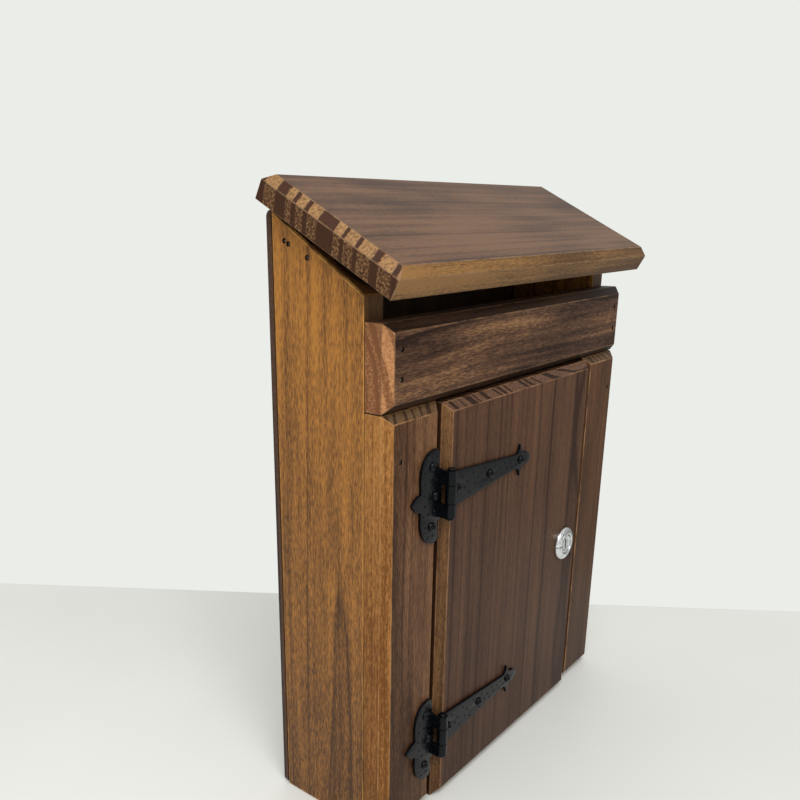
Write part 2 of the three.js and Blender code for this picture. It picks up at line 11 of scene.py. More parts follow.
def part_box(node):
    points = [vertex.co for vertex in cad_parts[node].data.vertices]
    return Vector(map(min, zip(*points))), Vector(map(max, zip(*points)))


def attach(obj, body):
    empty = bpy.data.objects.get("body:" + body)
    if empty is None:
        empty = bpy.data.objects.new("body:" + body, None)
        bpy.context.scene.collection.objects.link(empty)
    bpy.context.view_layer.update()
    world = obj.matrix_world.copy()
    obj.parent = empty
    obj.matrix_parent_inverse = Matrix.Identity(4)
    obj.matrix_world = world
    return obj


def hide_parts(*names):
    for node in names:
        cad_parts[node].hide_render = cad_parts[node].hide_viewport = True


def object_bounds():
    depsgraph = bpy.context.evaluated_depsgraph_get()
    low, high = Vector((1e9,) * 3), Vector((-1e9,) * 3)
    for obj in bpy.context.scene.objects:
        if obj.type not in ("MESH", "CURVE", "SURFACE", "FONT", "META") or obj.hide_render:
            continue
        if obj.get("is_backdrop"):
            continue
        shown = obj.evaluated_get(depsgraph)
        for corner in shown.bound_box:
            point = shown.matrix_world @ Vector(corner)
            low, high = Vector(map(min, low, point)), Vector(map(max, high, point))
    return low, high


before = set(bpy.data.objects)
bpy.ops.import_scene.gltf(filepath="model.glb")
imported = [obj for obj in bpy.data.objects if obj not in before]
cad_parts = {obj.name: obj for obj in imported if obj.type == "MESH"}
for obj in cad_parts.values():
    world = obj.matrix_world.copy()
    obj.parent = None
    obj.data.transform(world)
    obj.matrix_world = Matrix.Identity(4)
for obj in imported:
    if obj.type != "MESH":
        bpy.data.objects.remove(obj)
cad_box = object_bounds()

# ---- Side panels ---------------------------------------------------
# Two planed softwood boards with sloping tops, stained honey brown and varnished. The grain runs upwards.
# The edges of the outer face are lightly chamfered and every arris is sanded round. The arrises are paler
# in places: partly worn stain, partly a painted highlight.

MM = 0.001
ARRIS = 0.5 * MM
GRAIN_UP = Matrix()
GRAIN_SIDEWAYS = Matrix.Rotation(math.radians(90), 4, "Y")


# The kinds of node that are used most.
MATH, VECTOR, RAMP, MIX = "ShaderNodeMath", "ShaderNodeVectorMath", "ShaderNodeValToRGB", "ShaderNodeMix"
NOISE, COORDINATES, ATTRIBUTE = "ShaderNodeTexNoise", "ShaderNodeTexCoord", "ShaderNodeAttribute"
PRINCIPLED, OUTPUT = "ShaderNodeBsdfPrincipled", "ShaderNodeOutputMaterial"
BOOLEAN = "GeometryNodeMeshBoolean"


def linear(hex_colour):
    """The linear colour of an sRGB hex value."""
    channels = [int(hex_colour[i:i + 2], 16) / 255 for i in (0, 2, 4)]
    bent = [c / 12.92 if c <= 0.04045 else ((c + 0.055) / 1.055) ** 2.4 for c in channels]
    return (*bent, 1)


def add(tree, kind, inputs=None, stops=None, **settings):
    """Adds a node to a tree, with its settings, its inputs' values or links, and a ramp's stops."""
    node = tree.nodes.new(kind)
    for key, value in settings.items():
        setattr(node, key, value)
    for key, value in (inputs or {}).items():
        if isinstance(value, bpy.types.NodeSocket):
            tree.links.new(value, node.inputs[key])
        else:
            node.inputs[key].default_value = value
    if stops:
        elements = node.color_ramp.elements
        elements[0].position, elements[0].color = stops[0]
        elements[-1].position, elements[-1].color = stops[-1]
        for position, colour in stops[1:-1]:
            elements.new(position).color = colour
    return node


def new_material(name):
    material = bpy.data.materials.new(name)
    material.use_nodes = True
    material.node_tree.nodes.clear()
    return material, material.node_tree


def grey(value):
    return (value, value, value, 1)


def stained_softwood(
    name, lie, pith, ring, stain, chamfer_stain, end_stain, wear_and_highlight=None, late=0.35, end_late=0.5, wander=4,
    uneven=1.6, fibre=0.45, streak=0.7, patch=0.5, level=0, fade=(0, 0, 0), cut_fade=(0, 0, 0), flat_drop=0.1,
    gloss=0.42, shine=0.3
):
    """Softwood under a brown stain and a satin varnish, in the frame lie, whose Z runs along the grain. The
    growth rings are ring mm apart round the pith, a point in mm. Late wood shows as narrow dark lines. Each
    stain is two or three colours from dark to light: for the faces, the long chamfers and the end grain. The
    other values are the shares of each pattern in the tone, how the tone changes over the board, and the
    varnish."""
    material, tree = new_material(name)
    place = add(tree, COORDINATES).outputs["Object"]
    turned = {"Vector": place, "Location": lie.to_translation(), "Rotation": lie.to_euler()}
    own = add(tree, "ShaderNodeMapping", turned, vector_type="TEXTURE").outputs[0]
    at = add(tree, VECTOR, {0: own, "Scale": 1 / MM}, operation="SCALE").outputs[0]

    def streaks(width, length, detail, start=at):
        size = (1 / width, 1 / width, 1 / length)
        stretched = add(tree, VECTOR, {0: start, 1: size}, operation="MULTIPLY").outputs[0]
        noise = {"Vector": stretched, "Scale": 1, "Detail": detail, "Roughness": 0.6}
        return add(tree, NOISE, noise)

    # Growth rings: the distance from the pith, with a slow wander along the board and uneven widths.
    sway = streaks(38, 190, 1).outputs["Color"]
    centred = add(tree, VECTOR, {0: sway, 1: (0.5, 0.5, 0.5)}, operation="SUBTRACT").outputs[0]
    push = add(tree, VECTOR, {0: centred, 1: (wander * 2, wander * 2, 0)}, operation="MULTIPLY")
    bent = add(tree, VECTOR, {0: at, 1: push.outputs[0]}, operation="ADD").outputs[0]
    flat = add(tree, VECTOR, {0: bent, 1: (1, 1, 0)}, operation="MULTIPLY").outputs[0]
    radius = add(tree, VECTOR, {0: flat, 1: (*pith, 0)}, operation="DISTANCE").outputs["Value"]
    count = add(tree, MATH, {0: radius, 1: ring}, operation="DIVIDE").outputs[0]
    years = add(tree, NOISE, {"W": count, "Scale": 0.6, "Detail": 2}, noise_dimensions="1D")
    uneven = add(tree, MATH, {0: years.outputs["Fac"], 1: uneven, 2: count}, operation="MULTIPLY_ADD")
    phase = add(tree, MATH, {0: uneven.outputs[0]}, operation="FRACT").outputs[0]
    line_stops = [(0, 0.2), (0.06, 0), (0.66, 0.04), (0.88, 0.4), (0.95, 1), (1, 0.2)]
    line_stops = [(position, grey(value)) for position, value in line_stops]
    line = add(tree, RAMP, {0: phase}, line_stops).outputs[0]
    faint = add(tree, NOISE, {"W": count, "Scale": 0.9, "Detail": 1}, noise_dimensions="1D")
    faint = add(tree, RAMP, {0: faint.outputs[0]}, [(0.4, grey(0.25)), (0.6, grey(1))]).outputs[0]
    line = add(tree, MATH, {0: line, 1: faint}, operation="MULTIPLY").outputs[0]
    band_stops = [(0, 0.9), (0.06, 0), (0.62, 0), (0.72, 1), (1, 1)]
    band_stops = [(position, grey(value)) for position, value in band_stops]
    band = add(tree, RAMP, {0: phase}, band_stops).outputs[0]

    # Fibres are about a tenth of this width on real softwood, and are drawn as coarse as they need to show.
    fibres = streaks(0.7, 5, 2).outputs["Fac"]
    long_streaks = streaks(4.5, 210, 3, bent).outputs["Fac"]
    patches = streaks(26, 120, 1).outputs["Fac"]
    fleck_stops = [(0.64, grey(0)), (0.74, grey(1))]
    flecks = add(tree, RAMP, {0: streaks(0.9, 7, 1).outputs["Fac"]}, fleck_stops).outputs[0]
    middle = 0.5 - (fibre + streak + patch) / 2
    tone = add(tree, MATH, {0: fibres, 1: fibre, 2: middle}, operation="MULTIPLY_ADD")
    for part, share in ((long_streaks, streak), (patches, patch), (line, -late), (flecks, -0.16)):
        tone = add(tree, MATH, {0: part, 1: share, 2: tone.outputs[0]}, operation="MULTIPLY_ADD")
    # The tone changes in a straight line over the board. Lighter towards the top is partly uneven stain and
    # partly painted light from above.
    change = add(tree, VECTOR, {0: place, 1: fade}, operation="DOT_PRODUCT").outputs["Value"]
    tone = add(tree, MATH, {0: tone.outputs[0], 1: change}, operation="ADD").outputs[0]
    tone = add(tree, MATH, {0: tone, 1: level}, operation="ADD").outputs[0]
    spread = [i / (len(stain) - 1) for i in range(len(stain))]
    stops = [(0.12 + 0.76 * s, linear(c)) for s, c in zip(spread, stain)]
    face = add(tree, RAMP, {0: tone}, stops).outputs[0]

    # Chamfers cut across the rings, so the stain takes unevenly; end grain is speckled by its open cells.
    speckle = streaks(1.5, 1.8, 2).outputs["Fac"]
    rough_tone = add(tree, MATH, {0: speckle, 1: 0.9, 2: -0.45}, operation="MULTIPLY_ADD").outputs[0]
    long_tone = add(tree, MATH, {0: rough_tone, 1: 0.45, 2: tone}, operation="MULTIPLY_ADD").outputs[0]
    change = add(tree, VECTOR, {0: place, 1: cut_fade}, operation="DOT_PRODUCT").outputs["Value"]
    long_tone = add(tree, MATH, {0: long_tone, 1: change}, operation="ADD").outputs[0]
    end_tone = add(tree, MATH, {0: band, 1: -end_late, 2: 0.62}, operation="MULTIPLY_ADD").outputs[0]
    end_tone = add(tree, MATH, {0: rough_tone, 1: 1.3, 2: end_tone}, operation="MULTIPLY_ADD").outputs[0]
    sawn = add(tree, ATTRIBUTE, attribute_name="end_flat").outputs["Fac"]
    end_tone = add(tree, MATH, {0: sawn, 1: -flat_drop, 2: end_tone}, operation="MULTIPLY_ADD").outputs[0]
    colour = face
    for attribute, value, tones in (("long_cut", long_tone, chamfer_stain), ("end_cut", end_tone, end_stain)):
        stops = [(0.2, linear(tones[0])), (0.8, linear(tones[1]))]
        cut = add(tree, RAMP, {0: value}, stops).outputs[0]
        share = add(tree, ATTRIBUTE, attribute_name=attribute).outputs["Fac"]
        colour = add(tree, MIX, {0: share, 6: colour, 7: cut}, data_type="RGBA").outputs[2]

    # The sanded arrises are paler in places: partly worn stain, partly a painted highlight along the edge.
    edge = add(tree, ATTRIBUTE, attribute_name="arris").outputs["Fac"]
    wear_and_highlight_share = add(tree, RAMP, {0: streaks(9, 14, 2).outputs["Fac"]}, [(0.38, grey(0.15)), (0.6, grey(0.8))])
    wear_and_highlight_share = add(tree, MATH, {0: wear_and_highlight_share.outputs[0], 1: edge}, operation="MULTIPLY").outputs[0]
    pale = linear(wear_and_highlight or chamfer_stain[1])
    colour = add(tree, MIX, {0: wear_and_highlight_share, 6: colour, 7: pale}, data_type="RGBA").outputs[2]

    # Painted shade: holes, and board sides that face a gap or lie under the roof, are darkened to near black.
    bored = add(tree, ATTRIBUTE, attribute_name="bored").outputs["Fac"]
    colour = add(tree, MIX, {0: bored, 6: colour, 7: linear("1c110b")}, data_type="RGBA").outputs[2]

    # The satin varnish is duller over the fibres. Late wood lies lower on a face and is sunk at an end.
    matt = add(tree, MATH, {0: fibres, 1: 0.22, 2: gloss - 0.11}, operation="MULTIPLY_ADD").outputs[0]
    relief = add(tree, MATH, {0: line, 1: -0.5, 2: fibres}, operation="MULTIPLY_ADD").outputs[0]
    end_share = add(tree, ATTRIBUTE, attribute_name="end_cut").outputs["Fac"]
    ridge = add(tree, MATH, {0: band, 1: end_share}, operation="MULTIPLY").outputs[0]
    relief = add(tree, MATH, {0: ridge, 1: -2, 2: relief}, operation="MULTIPLY_ADD").outputs[0]
    bump = {"Height": relief, "Strength": 0.35, "Distance": 0.25 * MM}
    normal = add(tree, "ShaderNodeBump", bump).outputs[0]
    surface = {"Base Color": colour, "Roughness": matt, "Normal": normal, "IOR": 1.5}
    surface["Specular IOR Level"] = shine
    shader = add(tree, PRINCIPLED, surface).outputs[0]
    add(tree, OUTPUT, {"Surface": shader})
    return material


def new_piece(name, bm, *materials):
    """Makes the object of a finished mesh, which is in metres in the frame of the model."""
    mesh = bpy.data.meshes.new(name)
    bm.to_mesh(mesh)
    bm.free()
    for material in materials:
        mesh.materials.append(material)
    piece = bpy.data.objects.new(name, mesh)
    bpy.context.scene.collection.objects.link(piece)
    return piece


def settle(piece):
    """Makes what the piece's modifiers give its plain mesh."""
    evaluated = piece.evaluated_get(bpy.context.evaluated_depsgraph_get())
    mesh = bpy.data.meshes.new_from_object(evaluated)
    piece.modifiers.clear()
    piece.data = mesh
    mesh.name = piece.name
    return piece


def combine(piece, other, operation):
    """Cuts, joins or trims a piece by another mesh, which is used up."""
    tool = new_piece("tool", other)
    modifier = piece.modifiers.new(operation, "BOOLEAN")
    modifier.operation = operation
    modifier.solver = "EXACT"
    modifier.object = tool
    settle(piece)
    bpy.data.objects.remove(tool)
    return piece


def smooth(piece, degrees=35):
    """Shades a piece smooth, except over edges sharper than the angle."""
    piece.data.polygons.foreach_set("use_smooth", [True] * len(piece.data.polygons))
    piece.data.set_sharp_from_angle(angle=math.radians(degrees))
    return piece


def lathe(bm, profile, place, sides):
    """Turns (radius, height) points in mm round the Z of place, the outside of a rising profile facing out. A
    radius of 0 is a pole, and a profile that ends where it began makes a ring."""
    angles = [2 * math.pi * i / sides for i in range(sides)]
    rows = []
    for radius, height in profile:
        around = [(radius * math.cos(a), radius * math.sin(a), height) for a in angles]
        if radius == 0:
            rows.append([bm.verts.new(place @ (Vector(around[0]) * MM))] * sides)
        else:
            rows.append([bm.verts.new(place @ (Vector(p) * MM)) for p in around])
    if profile[0] == profile[-1] and profile[0][0] > 0:
        for vertex in rows.pop():
            bm.verts.remove(vertex)
        rows.append(rows[0])
    faces = []
    for lower, upper in zip(rows, rows[1:]):
        for i in range(sides):
            j = (i + 1) % sides
            corners = list(dict.fromkeys([lower[i], lower[j], upper[j], upper[i]]))
            faces.append(bm.faces.new(corners))
    return faces


def pointing(point, direction):
    """A frame at a point, whose Z is the direction."""
    turn = Vector(direction).to_track_quat("Z", "Y").to_matrix().to_4x4()
    return Matrix.Translation(point) @ turn


def block(bm, low, high, place=Matrix()):
    """Adds a box between two corners in metres, in the frame place."""
    low, high = Vector(low), Vector(high)
    middle = Matrix.Translation((low + high) / 2) @ Matrix.Diagonal((*(high - low), 1))
    bmesh.ops.create_cube(bm, size=1, matrix=place @ middle)


LAYERS = ("long_cut", "end_cut", "end_flat", "arris", "bored")
# How strongly the dark sides of a board are darkened as painted shade.
PAINTED_SIDE_SHADE = 0.7


def board(
    name, low, high, material, grain, face, width, lie=Matrix(), square=None, shape=None, bright=(), dark=()
):
    """A planed board between two corners of the frame lie. Its face is an axis and a side, -1 or 1, and the
    edges round it are chamfered to a width, except one on the side square. Shape may move its corners, and
    bright names sides, each an axis and -1 or 1, that are stained like the long chamfers. Dark names those
    that get painted shade, darkened towards near black, for the shade in a gap or under the roof."""
    bm = bmesh.new()
    block(bm, low, high)
    if shape:
        for vertex in bm.verts:
            shape(vertex.co)
    axis, side = face
    edge_of_face = (low if side < 0 else high)[axis]

    def on(vertex, which, value):
        return abs(vertex.co[which] - value) < 0.01 * MM

    def chamfered(edge):
        if not all(on(v, axis, edge_of_face) for v in edge.verts):
            return False
        if square:
            skip = (low if square[1] < 0 else high)[square[0]]
            return not all(on(v, square[0], skip) for v in edge.verts)
        return True

    cuts = [edge for edge in bm.edges if chamfered(edge)]
    if width:
        bmesh.ops.bevel(bm, geom=cuts, offset=width, segments=1, profile=0.5, affect="EDGES")
    layers = {key: bm.faces.layers.float.new(key) for key in LAYERS}
    bm.normal_update()
    for polygon in bm.faces:
        normal = [abs(n) for n in polygon.normal]
        lit, darkened = [[polygon.normal[i] * way > 0.9 for i, way in sides] for sides in (bright, dark)]
        # Painted shade on the dark sides, for the shade in a gap or under the roof.
        polygon[layers["bored"]] = PAINTED_SIDE_SHADE * any(darkened)
        polygon[layers["end_cut"]] = float(normal[grain] > 0.5)
        polygon[layers["end_flat"]] = float(normal[grain] > 0.9)
        polygon[layers["long_cut"]] = float(any(lit) or (normal[grain] < 0.5 and max(normal) < 0.9))
    made = bmesh.ops.bevel(bm, geom=list(bm.edges), offset=ARRIS, segments=2, profile=0.5, affect="EDGES")
    for polygon in made["faces"]:
        polygon[layers["arris"]] = 1.0
    bm.transform(lie)
    bmesh.ops.recalc_face_normals(bm, faces=bm.faces)
    return new_piece(name, bm, material)


def drill(piece, holes):
    """Bores turned holes in a piece, their walls marked for painted shade. Each hole is a profile in mm and
    the frame that it is turned in.
    """
    bm = bmesh.new()
    layer = bm.faces.layers.float.new("bored")
    for profile, place in holes:
        lathe(bm, profile, place, 20)
    for polygon in bm.faces:
        polygon[layer] = 1.0
    return combine(piece, bm, "DIFFERENCE")


def driven(node, direction):
    """The frame of a fastener's node, at the top of its head, whose Z is the way it is driven."""
    low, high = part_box(node)
    point = (low + high) / 2
    for i in range(3):
        if direction[i]:
            point[i] = low[i] if direction[i] > 0 else high[i]
    return pointing(point, direction)


# The way each group of nails is driven, and the hole that a nail makes, from the top of its head.
NAILS = {"side_nail_left": (1, 0, 0), "side_nail_right": (-1, 0, 0)}
NAILS |= {f"{kind}_nail_{side}": (0, 1, 0) for kind in ("rail", "stile") for side in ("left", "right")}
NAILS |= {f"{kind}_nail_{side}": (0, -1, 0) for kind in ("back", "bottom") for side in ("left", "right")}
NAIL_HOLE = [(0, -2), (1.7, -2), (1.7, 1.1), (1.2, 1.1), (1.2, 35), (0, 35)]


def nail_frames(*groups):
    """The frames of the nails of some groups."""
    found = []
    for node in sorted(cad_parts):
        for group in groups:
            if node.startswith(group):
                found.append(driven(node, NAILS[group]))
    return found


SIDE_STAIN = ("4a301a", "81562c", "b17736")
SIDE_CHAMFER = ("8a5a30", "c08a52")
SIDE_END = ("3a2415", "7b5631")
for side, sign in (("left", -1), ("right", 1)):
    node = f"side_panel_{side}"
    low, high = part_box(node)
    front = [v.co.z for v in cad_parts[node].data.vertices if v.co.y - low.y < 0.1 * MM]
    rear = [v.co.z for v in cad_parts[node].data.vertices if high.y - v.co.y < 0.1 * MM]
    front_top, rear_top = max(front), max(rear) + 1 * MM

    def slope_top(corner):
        if corner.z > 0:
            corner.z = front_top if corner.y < (low.y + high.y) / 2 else rear_top

    # The pith leans away from the board as it rises, so the rings come out as pointed arches on its face.
    lean = Matrix.Rotation(math.radians(-1.6 * sign), 4, "Y")
    # The fade lightens each side panel towards the top, partly as painted light from above.
    wood = stained_softwood(
        f"honey stained softwood {side}", Matrix.Translation((sign * 0.16, 0, -0.09)) @ lean,
        (sign * -15, -57), 16, SIDE_STAIN, SIDE_CHAMFER, SIDE_END, late=0.45, wander=2.5, fibre=1.5,
        streak=0.8, patch=0.3, fade=(0, 0, 0.9), shine=0.2, level=0.05, wear_and_highlight="d0984f"
    )
    # The front edge gets painted shade, for the shade under the roof.
    options = {"square": (1, -1), "shape": slope_top, "dark": ((1, -1),)}
    piece = board(f"{side}_side", low, high, wood, 2, (0, sign), 1 * MM, **options)
    drill(piece, [(NAIL_HOLE, place) for place in nail_frames(
        f"side_nail_{side}", f"rail_nail_{side}", f"stile_nail_{side}", f"back_nail_{side}")])
    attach(piece, "cabinet")
    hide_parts(node)

# ---- Bottom board --------------------------------------------------
# A board of the same softwood between the side panels, with its grain across. Inside the box it is
# left matt, and its stain is made much darker than outside, partly as painted shade for the dim inside.

INNER_STAIN_AND_SHADE = ("1f1107", "321e0e", "402a16")
INNER_CUT = ("2c1c10", "4f3821")
shaded_inner_wood = stained_softwood(
    "brown stained softwood inside", GRAIN_SIDEWAYS, (30, 40), 7, INNER_STAIN_AND_SHADE, INNER_CUT, INNER_CUT, gloss=0.6
)
low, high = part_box("bottom_board")
piece = board("bottom", low, high, shaded_inner_wood, 0, (1, -1), 0)
drill(piece, [(NAIL_HOLE, place) for place in nail_frames("bottom_nail_left", "bottom_nail_right")])
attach(piece, "cabinet")
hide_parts("bottom_board")

# ---- Back panel ----------------------------------------------------
# A thin panel behind the side panels, with rounded corners, stained dark. It is nailed on from behind and
# drilled for four wall screws.

BACK_CORNER = 4.5 * MM
BACK_ARRIS = 0.4 * MM
back_wood = stained_softwood(
    "dark stained back panel", GRAIN_UP, (0, 260), 6, ("2c1d13", "4b3422", "67492f"), INNER_CUT,
    ("2a1b12", "54392a"), gloss=0.55
)
low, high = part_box("back_panel")
bm = bmesh.new()
block(bm, low, high)
upright = [e for e in bm.edges if abs(e.verts[0].co.y - e.verts[1].co.y) > 1 * MM]
bmesh.ops.bevel(bm, geom=upright, offset=BACK_CORNER, segments=6, profile=0.5, affect="EDGES")
rims = [e for e in bm.edges if e.calc_face_angle() > math.radians(60)]
bmesh.ops.bevel(bm, geom=rims, offset=BACK_ARRIS, segments=2, profile=0.5, affect="EDGES")
layers = {key: bm.faces.layers.float.new(key) for key in LAYERS}
for polygon in bm.faces:
    polygon[layers["end_cut"]] = float(abs(polygon.normal.y) < 0.5)
piece = new_piece("back", bm, back_wood)
holes = [(NAIL_HOLE, place) for place in nail_frames(
    "back_nail_left", "back_nail_right", "bottom_nail_left", "bottom_nail_right")]
WALL_HOLE_RADIUS = 2.6
WALL_HOLE_X = 100 * MM
WALL_HOLE_HEIGHTS = (55 * MM, 300 * MM)
for x in (-WALL_HOLE_X, WALL_HOLE_X):
    for height in WALL_HOLE_HEIGHTS:
        bore = [(0, -10), (WALL_HOLE_RADIUS, -10), (WALL_HOLE_RADIUS, 10), (0, 10)]
        holes.append((bore, pointing((x, 0, low.z + height), (0, -1, 0))))
drill(piece, holes)
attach(piece, "cabinet")
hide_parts("back_panel")

# ---- Roof bearers --------------------------------------------------
# Two short battens inside the side panels, under the roof. Nails through the side panels hold them, and
# screws go up through them into the roof.

roof_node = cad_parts["roof_board"]
widest = max(roof_node.data.polygons, key=lambda p: p.area * (p.normal.z > 0))
ROOF_LIE = Matrix.Rotation(math.atan2(-widest.normal.y, widest.normal.z), 4, "X")
UP_ROOF = ROOF_LIE @ Vector((0, 0, 1))


def box_in(node, lie):
    """The corners of a node's box in a turned frame."""
    points = [lie.inverted() @ v.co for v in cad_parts[node].data.vertices]
    low = Vector([min(p[i] for p in points) for i in range(3)])
    high = Vector([max(p[i] for p in points) for i in range(3)])
    return low, high


def roof_screw_frame(node):
    """The frame of a roof screw, at the top of its head and driven up, square to the roof."""
    low, high = box_in(node, ROOF_LIE)
    point = ROOF_LIE @ Vector(((low.x + high.x) / 2, (low.y + high.y) / 2, low.z))
    return pointing(point, UP_ROOF)


ROOF_SCREW_HOLE = [(0, 1.8), (2.3, 1.8), (2.3, 40.4), (0, 40.4)]
SIDES = ("left", "right")
roof_screws = {side: [roof_screw_frame(f"roof_screw_{side}_{i}") for i in (1, 2)] for side in SIDES}
for side in SIDES:
    node = f"roof_bearer_{side}"
    low, high = box_in(node, ROOF_LIE)
    piece = board(f"{side}_bearer", low, high, shaded_inner_wood, 1, (2, -1), 0, lie=ROOF_LIE)
    holes = [(NAIL_HOLE, place) for place in nail_frames(f"side_nail_{side}")]
    drill(piece, holes + [(ROOF_SCREW_HOLE, place) for place in roof_screws[side]])
    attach(piece, "cabinet")
    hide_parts(node)

# ---- Roof ----------------------------------------------------------
# One thick sloping board with its grain along its length, its upper edges chamfered. It is stained a greyer
# brown, and its growth rings show at the ends as slanted dark bands.

ROOF_CHAMFER = 5.5 * MM
roof_wood = stained_softwood(
    "grey brown stained roof softwood", ROOF_LIE @ GRAIN_SIDEWAYS, (-300, -240), 13,
    ("382216", "553927", "6f4f37"), ("523719", "90683b"), ("3f2414", "a57d52"), late=0.4, end_late=0.6,
    flat_drop=0.3, wander=1.5, uneven=1.2, streak=1.3, patch=1.2, fibre=1.3, gloss=0.38, shine=0.2,
    wear_and_highlight="86694e", fade=(0.2, -2.6, 0), cut_fade=(-1.3, 1.5, 0)
)
low, high = box_in("roof_board", ROOF_LIE)
options = {"lie": ROOF_LIE, "bright": ((1, -1), (1, 1))}
piece = board("roof", low, high, roof_wood, 0, (2, 1), ROOF_CHAMFER, **options)
drill(piece, [(ROOF_SCREW_HOLE, place) for side in roof_screws.values() for place in side])
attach(piece, "cabinet")
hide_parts("roof_board")

# ---- Upper rail and stiles -----------------------------------------
# Three boards of the front, chamfered round their faces and nailed to the front edges of the side panels.
# The stain is darker than on the sides. The left stile's chamfer is cut back to warmer wood.

FRONT_CHAMFER = 5.5 * MM
rail_wood = stained_softwood(
    "dark stained rail softwood", GRAIN_SIDEWAYS, (-98, 40), 7.5, ("291912", "5b402f", "99714d"),
    ("21150f", "422e22"), ("774d31", "bb8559"), late=0.55, streak=0.9, patch=0.9, fibre=1.0, wander=6,
    end_late=0.35, flat_drop=0.3, wear_and_highlight="7a5a40", shine=0.1, level=-0.06
)
# The stiles' fades lighten them towards the top, partly as painted light from above.
left_stile_wood = stained_softwood(
    "dark stained left stile softwood", GRAIN_UP, (-330, 40), 7, ("382214", "5f412c", "855e40"),
    ("6a421f", "b57e45"), ("3c291c", "6d5238"), late=0.3, patch=0.6, fibre=1.1, wear_and_highlight="a0764a", shine=0.1,
    fade=(8, 0, 1.2), cut_fade=(-1.3, 0, 0), level=1.05
)
right_stile_wood = stained_softwood(
    "dark stained right stile softwood", GRAIN_UP, (330, 40), 7, ("2f1b0e", "503522", "6c472b"),
    ("2f1b10", "4f341c"), ("3c291c", "6d5238"), late=0.3, patch=0.6, fibre=0.9, wear_and_highlight="a07a58", shine=0.1,
    fade=(0, 0, 0.8)
)
fronts = {
    "front_rail": ("rail", rail_wood, 0, ["rail_nail_left", "rail_nail_right"]),
    "stile_left": ("left_stile", left_stile_wood, 2, ["stile_nail_left"]),
    "stile_right": ("right_stile", right_stile_wood, 2, ["stile_nail_right"]),
}
SCREW_HOLE = [(0, -6), (2, -6), (2, 18.4), (0, 18.4)]
for node, (name, wood, grain, nails) in fronts.items():
    low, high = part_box(node)
    bright = {"stile_left": ((0, -1),), "stile_right": ((0, 1),)}.get(node, ())
    # The stiles' sides that face the door get painted shade, for the shade in the gaps.
    dark = {"stile_left": ((0, 1),), "stile_right": ((0, -1),)}.get(node, ())
    piece = board(name, low, high, wood, grain, (1, -1), FRONT_CHAMFER, bright=bright, dark=dark)
    holes = [(NAIL_HOLE, place) for place in nail_frames(*nails)]
    if name == "left_stile":
        leaf_screws = [driven(n, (0, 1, 0)) for n in sorted(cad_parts) if n.startswith("leaf_screw")]
        holes += [(SCREW_HOLE, place) for place in leaf_screws]
    drill(piece, holes)
    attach(piece, "cabinet")
    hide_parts(node)

# ---- Nails and roof screws -----------------------------------------
# Small round-headed steel nails driven just below the surface, their heads darkened by the stain, and zinc
# plated screws under the bearers. Both are turned to a profile and set in their holes.


def tree_of(name, sockets):
    """A new Geometry Nodes tree with a geometry in and out and the named inputs."""
    tree = bpy.data.node_groups.new(name, "GeometryNodeTree")
    tree.interface.new_socket("Geometry", in_out="INPUT", socket_type="NodeSocketGeometry")
    for key, kind in sockets.items():
        tree.interface.new_socket(key, in_out="INPUT", socket_type=kind)
    tree.interface.new_socket("Geometry", in_out="OUTPUT", socket_type="NodeSocketGeometry")
    return tree, tree.nodes.new("NodeGroupInput")


def finish_tree(tree, geometry, finish):
    """Ends a tree with its instances made real and its finish set."""
    real = add(tree, "GeometryNodeRealizeInstances", {0: geometry}).outputs[0]
    painted = add(tree, "GeometryNodeSetMaterial", {"Geometry": real, "Material": finish}).outputs[0]
    add(tree, "NodeGroupOutput", {0: painted})
    return tree


